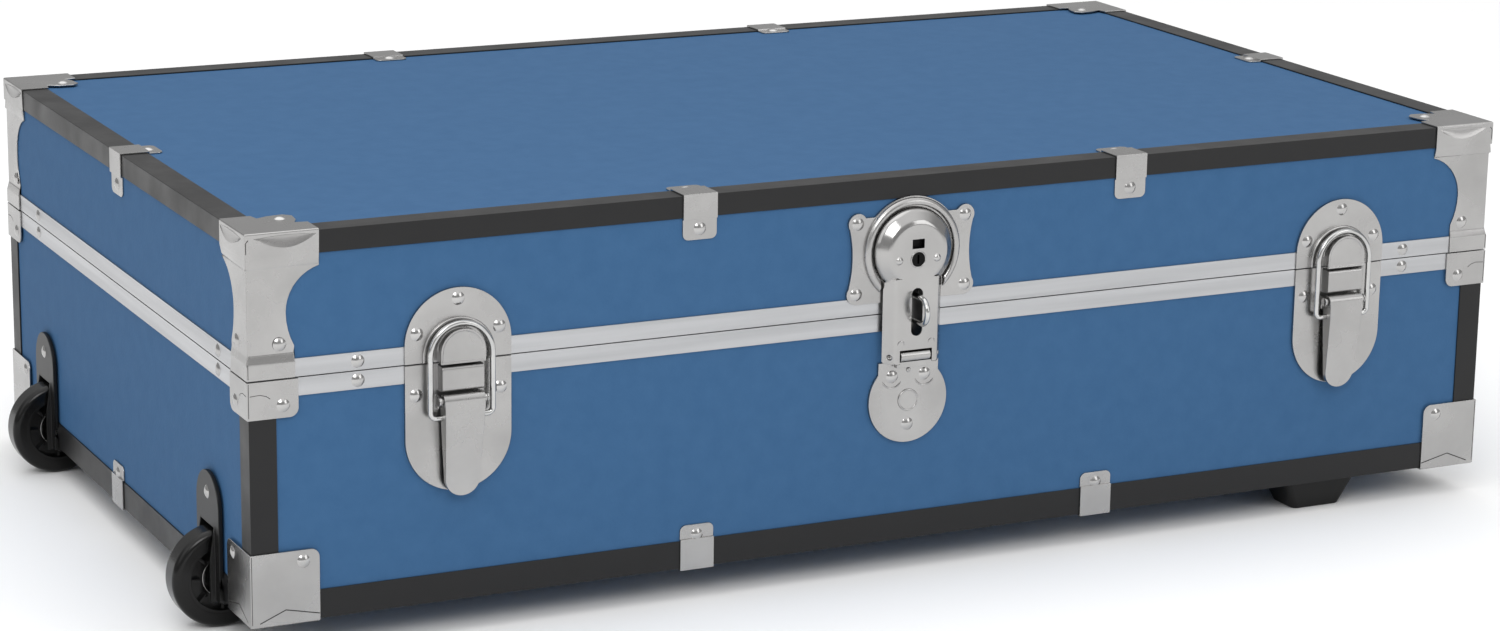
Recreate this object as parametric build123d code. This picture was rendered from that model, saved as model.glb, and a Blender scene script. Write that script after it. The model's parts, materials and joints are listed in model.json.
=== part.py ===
from build123d import *
import os

# Wheeled underbed footlocker.
# The model is drawn in case coordinates, in millimetres: X runs along the front from its left end,
# Y runs from the front face to the back, and Z rises from the underside of the case. Zero is the
# outside of the edge bindings. Every piece is moved at the end, so that the finished part stands
# on its wheels and feet at Z = 0 with its origin under the middle of its box.

# ---- Case ----
CASE_L = 787.4
CASE_D = 463.5
CASE_H = 212.8
SKIN = 1.0                  # thickness of bindings, bands and pressed metal
BOARD = 6.0                 # plywood
SEAM_Z = 134.6
SEAM_GAP = 0.3              # each rim stops this far short of the seam
LINING = 0.4
INSIDE = SKIN + BOARD       # inner face of the boards

# ---- Bindings and rim bands ----
TOP_BINDING_FLAT = 15.8
TOP_BINDING_SIDE = 12.4
BOTTOM_BINDING = 16.1
UPRIGHT_BINDING = 15.3
BAND_H = 9.8
RIM_WEB = 1.0
TONGUE_H = 3.5
TONGUE_INSET = 3.2
TONGUE_T = 1.6
GROOVE_H = 6.0
JOGGLE = 0.8                # overlap where pressed metal steps down off a binding

# ---- Rivets ----
HEAD_R = 3.7
HEAD_H = 1.3
SHANK_R = 1.5
CLINCH_R = 2.8
CLINCH_T = 0.8

# ---- Corners ----
LID_CORNER_W = 40.0
LID_CORNER_WAIST = 21.4
LID_CORNER_FOOT = 25.8
RIM_CORNER_W = 27.4
RIM_CORNER_H = 20.8
BOTTOM_CORNER_W = 37.8
BOTTOM_CORNER_H = 39.8

# ---- Edge clamps ----
CLAMP_W = 20.6
CLAMP_LEG = 25.0
CLAMP_FILLET = 3.5
LID_CLAMPS = {"front": (259.6, 533.8), "back": (247.0, 523.0), "left": 228.0, "right": 237.0}
BASE_CLAMPS = {"front": (259.7, 517.8), "back": (247.0, 523.0), "left": 241.0, "right": 237.0}

# ---- Wheels ----
WHEEL_R = 28.0
WHEEL_W = 18.0
WHEEL_X = 3.0
WHEEL_Z = 9.5
WHEELS_Y = {"front": 66.0, "back": 385.0}
HUB_R = 20.0
HUB_WEB = 8.0
AXLE_R = 3.0
RETAINER_R = 10.8
RUNNING_GAP = 0.06
WELL_HALF_W = 11.0
WELL_WALL = 2.0
WELL_DEPTH = 32.5
WELL_TOP = 39.5
BRACKET_W = 38.0
BRACKET_TOP = 69.0
BRACKET_T = 2.5
CHEEK_REACH = 5.5
CHEEK_TOP_REACH = 2.5
CHEEK_SHOULDER = 22.0
TYRE_SHOULDER = 4.0
HOUSING_CUT = 15.5          # half width of the cut-outs in the boards

# ---- Feet ----
CLEARANCE = WHEEL_R - WHEEL_Z      # from the floor to the underside of the case
FOOT_X = 681.3
FOOT_L = 50.5
FOOT_W = 32.0
FOOT_INSET = 5.0
FOOT_TAPER = 8.5

# ---- Draw latches ----
LATCHES_X = {"left": 117.4, "right": 681.4}
PLATE_R = 30.6
PLATE_TOP = 174.9
PLATE_BOTTOM = 62.4
PIVOT_Y = -7.4
PIVOT_Z = 114.6
BARREL_R = 3.7
LATCH_PIN_R = 1.5
BAIL_R = 1.6
BAIL_HALF_W = 17.85
BAIL_Y = -5.5
BAIL_PIVOT_Z = 105.0
BAIL_ARC_Z = 138.5
KEEPER_R = 12.85
KEEPER_Z = 141.0
LEVER_TOP_HALF = 11.75
LEVER_END_HALF = 10.0
LEVER_END_Z = 60.7
LEVER_T = 1.0

# ---- Lock ----
LOCK_X = 390.8
LOCK_Z = 170.5
RING_R = 30.3
RING_INNER_R = 26.0
DOME_R = 25.0
DOME_FACE_R = 17.5
FACE_Y = -9.5
HASP_AXIS_Y = -6.5
HASP_AXIS_Z = 110.5
HASP_PIN_R = 1.5
HASP_PIN_HALF = 14.5
KNUCKLE_ROOT_Y = -4.4
NECK_HALF = 18.5
NECK_FACE_HALF = 13.5
NECK_BACK_Y = -2.6
KEY_Z = 166.7
KEY_R = 4.0
CASE_RIVETS_U = 12.0
STAPLE_R = 1.6
STAPLE_LOW = 130.5
STAPLE_HIGH = 145.5
STAPLE_REACH = 14.0
LOWER_DISC_R = 25.0
LOWER_DISC_Z = 83.0

# ---- Back hinges ----
HINGES_X = (150.0, CASE_L - 150.0)
HINGE_W = 44.0
HINGE_Y = CASE_D + 4.5
KNUCKLE_R = 3.2
HINGE_PIN_R = 1.5
LEAF_T = 1.2
LEAF_H = 28.0

# ---- End handle ----
HANDLE_Y = CASE_D / 2
HANDLE_Z = 100.0
HANDLE_X = CASE_L + 9.5
HANDLE_WIRE_R = 3.0
HANDLE_HALF = 44.0
HANDLE_DROP = 40.0
GRIP_R = 8.0
GRIP_L = 76.0

NODES = {}


def block(x0, x1, y0, y1, z0, z1):
    """Box given by its six limits."""
    centre = ((x0 + x1) / 2, (y0 + y1) / 2, (z0 + z1) / 2)
    return Pos(*centre) * Box(x1 - x0, y1 - y0, z1 - z0)


def rod(start, end, radius):
    """Round bar between two points."""
    a = Vector(*start)
    b = Vector(*end)
    plane = Plane(origin=a, z_dir=b - a)
    return extrude(plane * Circle(radius), amount=(b - a).length)


def plate_xz(face, y0, y1):
    """Sketch drawn with X as x and Z as y, thickened from y0 to y1."""
    front = Plane(origin=(0, y1, 0), x_dir=(1, 0, 0), z_dir=(0, -1, 0))
    return extrude(front * face, amount=y1 - y0, dir=(0, -1, 0))


def raised(face, z0, z1):
    """Sketch in plan, thickened from z0 up to z1."""
    return Pos(0, 0, z0) * extrude(face, amount=z1 - z0, dir=(0, 0, 1))


def ring(outer_inset, inner_inset, z0, z1):
    """Closed rectangular frame round the case."""
    a = outer_inset
    b = inner_inset
    outer = block(a, CASE_L - a, a, CASE_D - a, z0, z1)
    return outer - block(b, CASE_L - b, b, CASE_D - b, z0 - 1, z1 + 1)


def mitred_strips(frame):
    """Cut a frame into its four strips along the corner mitres."""
    half = CASE_D / 2
    reach = 2 * CASE_H
    out = 40
    front = Polygon((-out, -out), (CASE_L + out, -out), (CASE_L - half, half), (half, half), align=None)
    left = Polygon((-out, -out), (half, half), (-out, CASE_D + out), align=None)
    wedge_front = raised(front, -reach, reach)
    wedge_left = raised(left, -reach, reach)
    middle_y = Plane(origin=(0, half, 0), z_dir=(0, 1, 0))
    middle_x = Plane(origin=(CASE_L / 2, 0, 0), z_dir=(1, 0, 0))
    wedges = [wedge_front, mirror(wedge_front, about=middle_y)]
    wedges += [wedge_left, mirror(wedge_left, about=middle_x)]
    return [frame & wedge for wedge in wedges]


def at_four_corners(piece):
    """Copy a front-left piece to all four corners by mirroring."""
    middle_y = Plane(origin=(0, CASE_D / 2, 0), z_dir=(0, 1, 0))
    middle_x = Plane(origin=(CASE_L / 2, 0, 0), z_dir=(1, 0, 0))
    right = mirror(piece, about=middle_x)
    return [piece, right, mirror(piece, about=middle_y), mirror(right, about=middle_y)]


def rivet(point, inward, grip):
    """Domed tubular rivet: the head sits on the point and the shank runs inward to a clinched end."""
    sphere_r = (HEAD_R ** 2 + HEAD_H ** 2) / (2 * HEAD_H)
    cap = Pos(0, 0, sphere_r - HEAD_H) * Sphere(sphere_r)
    cap &= Pos(0, 0, -HEAD_H / 2) * Cylinder(HEAD_R + 1, HEAD_H)
    shank = Pos(0, 0, grip / 2 - 0.1) * Cylinder(SHANK_R, grip + 0.2)
    clinch = Pos(0, 0, grip + CLINCH_T / 2) * Cylinder(CLINCH_R, CLINCH_T)
    plane = Plane(origin=point, z_dir=inward)
    return plane.location * (cap + shank + clinch)


def add(name, *pieces):
    """Keep a node made of one or more solids."""
    solids = []
    for piece in pieces:
        solids += list(piece.solids())
    NODES.setdefault(name, [])
    NODES[name] += solids


# ---- Boards and lining ----

def wheel_cutouts():
    cuts = []
    for y in WHEELS_Y.values():
        cuts.append(block(-5, WELL_DEPTH + WELL_WALL, y - HOUSING_CUT, y + HOUSING_CUT, -5, WELL_TOP + WELL_WALL))
    return cuts


def without(piece, cuts):
    for cut in cuts:
        piece -= cut
    return piece


def make_base_boards():
    top = SEAM_Z - SEAM_GAP - RIM_WEB
    cuts = wheel_cutouts()
    far_x = CASE_L - SKIN
    far_y = CASE_D - SKIN
    floor = SKIN + BOARD
    add("base_bottom_panel", without(block(SKIN, far_x, SKIN, far_y, SKIN, floor), cuts))
    add("base_front_panel", block(SKIN, far_x, SKIN, INSIDE, floor, top))
    add("base_back_panel", block(SKIN, far_x, CASE_D - INSIDE, far_y, floor, top))
    add("base_left_panel", without(block(SKIN, INSIDE, INSIDE, CASE_D - INSIDE, floor, top), cuts))
    add("base_right_panel", block(CASE_L - INSIDE, far_x, INSIDE, CASE_D - INSIDE, floor, top))
    lining_top = SEAM_Z - SEAM_GAP - BAND_H
    tray = ring(INSIDE, INSIDE + LINING, floor, lining_top)
    tray += block(INSIDE, CASE_L - INSIDE, INSIDE, CASE_D - INSIDE, floor, floor + LINING)
    add("base_lining", without(tray, cuts))


def make_lid_boards():
    bottom = SEAM_Z + SEAM_GAP + GROOVE_H + RIM_WEB
    roof = CASE_H - SKIN - BOARD
    far_x = CASE_L - SKIN
    far_y = CASE_D - SKIN
    add("lid_top_panel", block(SKIN, far_x, SKIN, far_y, roof, CASE_H - SKIN))
    add("lid_front_panel", block(SKIN, far_x, SKIN, INSIDE, bottom, roof))
    add("lid_back_panel", block(SKIN, far_x, CASE_D - INSIDE, far_y, bottom, roof))
    add("lid_left_panel", block(SKIN, INSIDE, INSIDE, CASE_D - INSIDE, bottom, roof))
    add("lid_right_panel", block(CASE_L - INSIDE, far_x, INSIDE, CASE_D - INSIDE, bottom, roof))
    lining_bottom = SEAM_Z + SEAM_GAP + BAND_H
    hood = ring(INSIDE, INSIDE + LINING, lining_bottom, roof)
    hood += block(INSIDE, CASE_L - INSIDE, INSIDE, CASE_D - INSIDE, roof - LINING, roof)
    add("lid_lining", hood)


# ---- Edge bindings and rim bands ----

def make_bindings():
    lid = ring(0, TOP_BINDING_FLAT, CASE_H - SKIN, CASE_H)
    lid += ring(0, SKIN, CASE_H - TOP_BINDING_SIDE, CASE_H - SKIN)
    add("lid_edge_binding", *mitred_strips(lid))
    base = ring(0, BOTTOM_BINDING, 0, SKIN)
    base += ring(0, SKIN, SKIN, BOTTOM_BINDING)
    cuts = wheel_cutouts()
    add("base_bottom_binding", *[without(strip, cuts) for strip in mitred_strips(base)])
    top = SEAM_Z - SEAM_GAP - BAND_H
    upright = block(0, UPRIGHT_BINDING, 0, SKIN, BOTTOM_BINDING, top)
    upright += block(0, SKIN, 0, UPRIGHT_BINDING, BOTTOM_BINDING, top)
    add("base_corner_binding", *at_four_corners(upright))


def make_rim_bands():
    top = SEAM_Z - SEAM_GAP
    base = ring(0, SKIN, top - BAND_H, top)
    base += ring(0, INSIDE + SKIN, top - RIM_WEB, top)
    base += ring(INSIDE, INSIDE + SKIN, top - BAND_H, top)
    base += ring(TONGUE_INSET, TONGUE_INSET + TONGUE_T, top - RIM_WEB, top + TONGUE_H)
    add("base_rim_band", *mitred_strips(base))
    bottom = SEAM_Z + SEAM_GAP
    lid = ring(0, SKIN, bottom, bottom + BAND_H)
    lid += ring(INSIDE, INSIDE + SKIN, bottom, bottom + BAND_H)
    lid += ring(0, INSIDE + SKIN, bottom + GROOVE_H, bottom + GROOVE_H + RIM_WEB)
    add("lid_rim_band", *mitred_strips(lid))


# ---- Pressed steel corners ----

def lid_corner_outline():
    """Front flange of a lid corner: wide at the top, waisted, and flared again at the seam."""
    bottom = SEAM_Z + SEAM_GAP
    top = CASE_H + SKIN
    waist = (LID_CORNER_WAIST, bottom + 35.0)
    shoulder = (LID_CORNER_W, bottom + 59.0)
    foot = (LID_CORNER_FOOT, bottom + 17.0)
    lines = Line((-SKIN, bottom), (-SKIN, top)) + Line((-SKIN, top), (LID_CORNER_W, top))
    lines += Line((LID_CORNER_W, top), shoulder)
    lines += TangentArc(waist, shoulder, tangent=(0, 1))
    lines += TangentArc(waist, foot, tangent=(0, -1))
    lines += Line(foot, (LID_CORNER_FOOT, bottom)) + Line((LID_CORNER_FOOT, bottom), (-SKIN, bottom))
    return make_face(lines)


def lid_corner_top():
    """Top flange: one leg over each binding, and a tongue between them that reaches the board."""
    leg = TOP_BINDING_FLAT + 0.4
    w = LID_CORNER_W
    points = [(-SKIN, -SKIN), (w, -SKIN), (w, leg), (33, 17.5), (36, 24), (37, 33), (33, 37), (24, 36)]
    points += [(17.5, 33), (leg, w), (-SKIN, w)]
    return Polygon(*points, align=None)


def side_flange(face, y0, y1):
    """Turn a front flange into the matching flange on the left end."""
    flange = plate_xz(face, y0, y1)
    diagonal = Plane(origin=(0, 0, 0), z_dir=(1, -1, 0))
    return mirror(flange, about=diagonal)


def level_part(face, low, high):
    """Slice of a flange outline between two heights."""
    return face & (Pos(CASE_L / 2, (low + high) / 2) * Rectangle(2 * CASE_L, high - low))


def lid_corner():
    """The sheet lies on the binding above, drops to the board, and steps out over the band."""
    outline = lid_corner_outline()
    band_top = SEAM_Z + SEAM_GAP + BAND_H
    binding_edge = CASE_H - TOP_BINDING_SIDE
    proud = level_part(outline, 0, band_top + 0.2 + JOGGLE)
    proud += level_part(outline, binding_edge - 0.2 - JOGGLE, CASE_H + 2 * SKIN)
    sunk = level_part(outline, band_top + 0.2, binding_edge - 0.2)
    sunk -= Pos(-SKIN / 2, CASE_H) * Rectangle(SKIN, 2 * CASE_H)
    corner = plate_xz(proud, -SKIN, 0) + side_flange(proud, -SKIN, 0)
    corner += plate_xz(sunk, 0, SKIN) + side_flange(sunk, 0, SKIN)
    return corner + raised(lid_corner_top(), CASE_H, CASE_H + SKIN)


def rim_corner():
    top = SEAM_Z - SEAM_GAP
    width = RIM_CORNER_W + SKIN
    plate = Pos(width / 2 - SKIN, top - RIM_CORNER_H / 2) * Rectangle(width, RIM_CORNER_H)
    plate = fillet(plate.vertices().sort_by(Axis.Y)[:2].sort_by(Axis.X)[-1], radius=5)
    return plate_xz(plate, -SKIN, 0) + side_flange(plate, -SKIN, 0)


def bottom_corner():
    width = BOTTOM_CORNER_W + SKIN
    height = BOTTOM_CORNER_H + SKIN
    plate = Pos(width / 2 - SKIN, height / 2 - SKIN) * Rectangle(width, height)
    plate = fillet(plate.vertices().sort_by(Axis.Y)[-2:].sort_by(Axis.X)[-1], radius=5)
    sole = Pos(width / 2 - SKIN, width / 2 - SKIN) * Rectangle(width, width)
    sole = chamfer(sole.vertices().sort_by(Axis.Y)[-2:].sort_by(Axis.X)[-1], length=14)
    corner = plate_xz(plate, -SKIN, 0) + side_flange(plate, -SKIN, 0)
    return corner + raised(sole, -SKIN, 0)


def make_corners():
    add("lid_corners", *at_four_corners(lid_corner()))
    add("base_rim_corners", *at_four_corners(rim_corner()))
    add("base_bottom_corners", *at_four_corners(bottom_corner()))


# ---- Edge clamps ----

def clamp(turn, x, y, upper):
    """Bent strap over an edge, in the middle of a side. Turn 0 is the front."""
    half = CLAMP_W / 2
    binding_side = TOP_BINDING_SIDE if upper else BOTTOM_BINDING
    binding_flat = TOP_BINDING_FLAT if upper else BOTTOM_BINDING
    side_step = -binding_side - 0.2
    flat_step = binding_flat + 0.2
    leg = block(-half, half, 0, SKIN, -CLAMP_LEG, side_step)
    leg = fillet(leg.edges().filter_by(Axis.Y).sort_by(Axis.Z)[:2], radius=CLAMP_FILLET)
    flat = block(-half, half, flat_step, CLAMP_LEG, -SKIN, 0)
    flat = fillet(flat.edges().filter_by(Axis.Z).sort_by(Axis.Y)[-2:], radius=CLAMP_FILLET)
    strap = leg + flat
    strap += block(-half, half, -SKIN, 0, side_step - JOGGLE, SKIN)
    strap += block(-half, half, -SKIN, flat_step + JOGGLE, 0, SKIN)
    level = CASE_H
    if not upper:
        strap = mirror(strap, about=Plane.XY)
        level = 0
    return Pos(x, y, level) * Rot(0, 0, turn) * strap


def clamp_places(clamps):
    """Turn, x, y and the direction into the case for the six clamps of one rim."""
    places = []
    for x in clamps["front"]:
        places.append((0, x, 0, (0, 1, 0)))
    for x in clamps["back"]:
        places.append((180, x, CASE_D, (0, -1, 0)))
    places.append((-90, 0, clamps["left"], (1, 0, 0)))
    places.append((90, CASE_L, clamps["right"], (-1, 0, 0)))
    return places


def make_clamps():
    for turn, x, y, _ in clamp_places(LID_CLAMPS):
        add("lid_edge_clamps", clamp(turn, x, y, True))
    for turn, x, y, _ in clamp_places(BASE_CLAMPS):
        add("base_edge_clamps", clamp(turn, x, y, False))


# ---- Wheels and feet ----

def wheel_housing(y):
    """Moulded well with a teardrop face plate, raised cheeks and a flange under the case."""
    half = BRACKET_W / 2
    outer = WELL_HALF_W + WELL_WALL
    low = Pos(0, (BRACKET_TOP - half - SKIN) / 2) * Rectangle(BRACKET_W, BRACKET_TOP - half + SKIN)
    tip = Pos(0, BRACKET_TOP - half) * Circle(half)
    body = Pos(-BRACKET_T, y, 0) * extrude(Plane.YZ * (low + tip), amount=BRACKET_T)
    body += block(-BRACKET_T, WELL_DEPTH + WELL_WALL, y - outer, y + outer, -SKIN, WELL_TOP + WELL_WALL)
    top = WELL_TOP + WELL_WALL
    cheek = [(0, -2), (-CHEEK_REACH, -2), (-CHEEK_REACH, CHEEK_SHOULDER), (-CHEEK_TOP_REACH, top), (0, top)]
    body += plate_xz(Polygon(*cheek, align=None), y - outer, y + outer)
    body += block(0, WELL_DEPTH + 14, y - half, y + half, -2.0, 0)
    body -= block(-40, WELL_DEPTH, y - WELL_HALF_W, y + WELL_HALF_W, -30, WELL_TOP)
    body -= rod((WHEEL_X, y - 40, WHEEL_Z), (WHEEL_X, y - outer, WHEEL_Z), AXLE_R + 2)
    body -= rod((WHEEL_X, y + outer, WHEEL_Z), (WHEEL_X, y + 40, WHEEL_Z), AXLE_R + 2)
    return body - rod((WHEEL_X, y - 40, WHEEL_Z), (WHEEL_X, y + 40, WHEEL_Z), AXLE_R)


def wheel_axle(y):
    """Axle with a head at each end and a retainer on each side of the hub's web."""
    outer = WELL_HALF_W + WELL_WALL
    pin = rod((WHEEL_X, y - outer - 0.2, WHEEL_Z), (WHEEL_X, y + outer + 0.2, WHEEL_Z), AXLE_R)
    for side in (-1, 1):
        head_in = y + side * outer
        retainer_in = y + side * (HUB_WEB / 2 + 0.4)
        pin += rod((WHEEL_X, head_in, WHEEL_Z), (WHEEL_X, head_in + side * 1.4, WHEEL_Z), AXLE_R + 1.6)
        pin += rod((WHEEL_X, retainer_in, WHEEL_Z), (WHEEL_X, retainer_in + side, WHEEL_Z), RETAINER_R)
    return pin


def wheel_hub(y):
    """Hub with a deep recess on both sides of its web, stiffening ribs and a plain bore."""
    half = WHEEL_W / 2
    web = HUB_WEB / 2
    hub = rod((WHEEL_X, y - half, WHEEL_Z), (WHEEL_X, y + half, WHEEL_Z), HUB_R)
    for side in (-1, 1):
        hub -= rod((WHEEL_X, y + side * web, WHEEL_Z), (WHEEL_X, y + side * half, WHEEL_Z), HUB_R - 2)
    rib = block(RETAINER_R + 1.5, HUB_R - 1, 2 - half, half - 2, -0.9, 0.9)
    for index in range(8):
        hub += Pos(WHEEL_X, y, WHEEL_Z) * Rot(0, 45 * index, 0) * rib
    return hub - rod((WHEEL_X, y - 20, WHEEL_Z), (WHEEL_X, y + 20, WHEEL_Z), AXLE_R + RUNNING_GAP)


def wheel_tyre(y):
    """Tread ring with rounded shoulders."""
    half = WHEEL_W / 2
    tyre = rod((WHEEL_X, y - half, WHEEL_Z), (WHEEL_X, y + half, WHEEL_Z), WHEEL_R)
    tyre = fillet(tyre.edges().filter_by(GeomType.CIRCLE), radius=TYRE_SHOULDER)
    return tyre - rod((WHEEL_X, y - 20, WHEEL_Z), (WHEEL_X, y + 20, WHEEL_Z), HUB_R)


def make_wheels():
    for side, y in WHEELS_Y.items():
        add("wheel_housing_" + side, wheel_housing(y))
        add("wheel_axles", wheel_axle(y))
        add("wheel_hub_" + side, wheel_hub(y))
        add("wheel_tyre_" + side, wheel_tyre(y))


def foot(y):
    """Tapered glide, screwed up through its middle."""
    top = Plane(origin=(FOOT_X, y, 0))
    tread = Plane(origin=(FOOT_X, y, -CLEARANCE))
    upper = top * RectangleRounded(FOOT_L, FOOT_W, 4)
    lower = tread * RectangleRounded(FOOT_L - 2 * FOOT_TAPER, FOOT_W - FOOT_TAPER, 4)
    body = loft([upper, lower])
    for x in (FOOT_X - 8, FOOT_X + 8):
        body -= Pos(x, y, -CLEARANCE / 2) * Cylinder(2, CLEARANCE + 2)
        body -= Pos(x, y, -CLEARANCE + 5) * Cylinder(4.2, 12)
    return body


def foot_screw(x, y):
    """Pan head screw in its counterbore, with its thread in the bottom board."""
    head = Pos(x, y, -CLEARANCE + 11 - 1.4) * Cylinder(3.8, 2.8)
    shank_len = CLEARANCE - 11 + SKIN + BOARD - 0.5
    shank = Pos(x, y, -CLEARANCE + 11 + shank_len / 2) * Cylinder(2.0, shank_len)
    slot = block(x - 3.2, x + 3.2, y - 0.5, y + 0.5, -CLEARANCE + 7, -CLEARANCE + 9.2)
    cross = block(x - 0.5, x + 0.5, y - 3.2, y + 3.2, -CLEARANCE + 7, -CLEARANCE + 9.2)
    return head + shank - slot - cross


def make_feet():
    front_y = FOOT_INSET + FOOT_W / 2
    for side, y in (("front", front_y), ("back", CASE_D - front_y)):
        add("foot_" + side, foot(y))
        for x in (FOOT_X - 8, FOOT_X + 8):
            add("foot_screws", foot_screw(x, y))


# ---- Draw latches ----

def plate_on_board(face, band_low, band_high):
    """Flat plate that lies over a rim band and is packed out to the board beyond it."""
    band = Pos(CASE_L / 2, (band_low + band_high) / 2) * Rectangle(2 * CASE_L, band_high - band_low)
    return plate_xz(face, -SKIN, 0) + plate_xz(face - band, 0, SKIN)


def keeper_face(x):
    """Round-topped half of the latch plate, above the seam."""
    centre = PLATE_TOP - PLATE_R
    edge = SEAM_Z + SEAM_GAP
    face = Pos(x, centre) * Circle(PLATE_R) + Pos(x, centre - PLATE_R / 2) * Rectangle(2 * PLATE_R, PLATE_R)
    return face & (Pos(x, edge + 50) * Rectangle(100, 100))


def keeper_plate(x):
    """Upper plate with its stepped boss and the D-shaped catch that the bail hooks over."""
    edge = SEAM_Z + SEAM_GAP
    above_seam = Pos(x, edge + 50) * Rectangle(100, 100)
    body = plate_on_board(keeper_face(x), edge - 5, edge + BAND_H + 0.2)
    body += plate_xz((Pos(x, KEEPER_Z - 3) * Circle(20.9)) & above_seam, -2.6, -SKIN)
    for radius, y0, y1 in ((KEEPER_R - 0.8, -7.2, -2.6), (KEEPER_R, -8.6, -7.2)):
        catch = Pos(x, KEEPER_Z) * Circle(radius)
        catch += Pos(x, (KEEPER_Z + edge) / 2) * Rectangle(2 * radius, KEEPER_Z - edge)
        body += plate_xz(catch & above_seam, y0, y1)
    return body


def latch_base_plate(x):
    """Lower plate with the bridge above the lever and the two cheeks that carry its pin."""
    edge = SEAM_Z - SEAM_GAP
    centre = PLATE_BOTTOM + PLATE_R
    face = Pos(x, centre) * Circle(PLATE_R)
    face += Pos(x, (centre + edge) / 2) * Rectangle(2 * PLATE_R, edge - centre)
    body = plate_on_board(face, edge - BAND_H - 0.2, edge + 5)
    bridge = block(x - 12, x + 12, -8.2, -SKIN, 119.5, edge - 0.8)
    bridge = fillet(bridge.edges().filter_by(Axis.X).sort_by(Axis.Y)[:2], radius=2)
    body += bridge
    for side in (-1, 1):
        near = x + side * 12.2
        far = x + side * 13.4
        cheek = rod((near, PIVOT_Y, PIVOT_Z), (far, PIVOT_Y, PIVOT_Z), 2.3)
        cheek += block(min(near, far), max(near, far), PIVOT_Y, -SKIN, PIVOT_Z - 2.3, PIVOT_Z + 2.3)
        cheek += block(min(near, far), max(near, far), -4, -SKIN, PIVOT_Z - 5, PIVOT_Z)
        body += cheek
    return body - rod((x - 14, PIVOT_Y, PIVOT_Z), (x + 14, PIVOT_Y, PIVOT_Z), LATCH_PIN_R)


def lever_section():
    """Side view of the lever as (y, z) points, from its barrel down to its tip and back."""
    front = [(-11.1, PIVOT_Z), (-10.9, 104), (-6.7, 66), (-6.4, LEVER_END_Z)]
    back = [(-5.2, LEVER_END_Z), (-4.4, 66), (-3.0, 98), (-3.0, 108), (-3.7, PIVOT_Z)]
    return Polygon(*front, *back, align=None)


def lever_outline(x, inset):
    """Front view of the lever: tapered, with a rounded end."""
    end = LEVER_END_HALF - inset
    top = LEVER_TOP_HALF - inset
    low = LEVER_END_Z + LEVER_END_HALF
    outline = Polygon((x - top, 120), (x + top, 120), (x + end, low), (x - end, low), align=None)
    return outline + Pos(x, low) * Circle(end)


def latch_lever(x):
    """Pressed lever: a full-width barrel round the pin and a tapered face with two flanges."""
    sideways = Plane(origin=(x - 20, 0, 0), x_dir=(0, 1, 0), z_dir=(1, 0, 0))
    body = extrude(sideways * lever_section(), amount=40, dir=(1, 0, 0))
    body &= plate_xz(lever_outline(x, 0), -20, 0)
    body += rod((x - LEVER_TOP_HALF, PIVOT_Y, PIVOT_Z), (x + LEVER_TOP_HALF, PIVOT_Y, PIVOT_Z), BARREL_R)
    hollow = [(-9.9, 109.4), (-9.9, 104), (-5.7, 66), (-5.4, 50), (5, 50), (5, 109.4)]
    hollow = extrude(sideways * Polygon(*hollow, align=None), amount=40, dir=(1, 0, 0))
    body -= hollow & plate_xz(lever_outline(x, LEVER_T), -20, 10)
    body -= rod((x - 20, PIVOT_Y, PIVOT_Z), (x + 20, PIVOT_Y, PIVOT_Z), LATCH_PIN_R + RUNNING_GAP)
    return body - rod((x - 20, BAIL_Y, BAIL_PIVOT_Z), (x + 20, BAIL_Y, BAIL_PIVOT_Z), BAIL_R + RUNNING_GAP)


def latch_pin(x):
    """Lever pivot, headed outside both cheeks."""
    pin = rod((x - 14.2, PIVOT_Y, PIVOT_Z), (x + 14.2, PIVOT_Y, PIVOT_Z), LATCH_PIN_R)
    for side in (-1, 1):
        pin += rod((x + side * 13.4, PIVOT_Y, PIVOT_Z), (x + side * 14.2, PIVOT_Y, PIVOT_Z), 2.6)
    return pin


def latch_bail(x):
    """Wire loop that pulls down on the catch; its two ends turn inward into the lever."""
    h = BAIL_HALF_W
    low = BAIL_PIVOT_Z
    bend = 3.2
    belly = bend * (1 - 0.5 ** 0.5)
    points = []
    for side in (-1, 1):
        end = (x + side * 9.4, BAIL_Y, low)
        bend_in = (x + side * (h - bend), BAIL_Y, low)
        bend_mid = (x + side * (h - belly), BAIL_Y, low + belly)
        bend_out = (x + side * h, BAIL_Y, low + bend)
        shoulder = (x + side * h, BAIL_Y, BAIL_ARC_Z)
        points.append((end, bend_in, bend_mid, bend_out, shoulder))
    left, right = points
    path = Line(left[0], left[1]) + ThreePointArc(left[1], left[2], left[3]) + Line(left[3], left[4])
    path += ThreePointArc(left[4], (x, BAIL_Y, BAIL_ARC_Z + h), right[4])
    path += Line(right[4], right[3]) + ThreePointArc(right[3], right[2], right[1]) + Line(right[1], right[0])
    section = Plane(origin=left[0], z_dir=(-1, 0, 0)) * Circle(BAIL_R)
    return sweep(section, path=Wire(path.edges()))


def make_latches():
    for side, x in LATCHES_X.items():
        add("latch_keeper_" + side, keeper_plate(x))
        add("latch_plate_" + side, latch_base_plate(x))
        add("latch_lever_" + side, latch_lever(x))
        add("latch_pin_" + side, latch_pin(x))
        add("latch_bail_" + side, latch_bail(x))


# ---- Lock ----

def turned(points):
    """Turn an (r, y) outline about the lock's own axis."""
    plane = Plane(origin=(LOCK_X, 0, LOCK_Z), x_dir=(1, 0, 0), z_dir=(0, 0, 1))
    return revolve(plane * Polygon(*points, align=None), axis=Axis((LOCK_X, 0, LOCK_Z), (0, 1, 0)))


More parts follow.
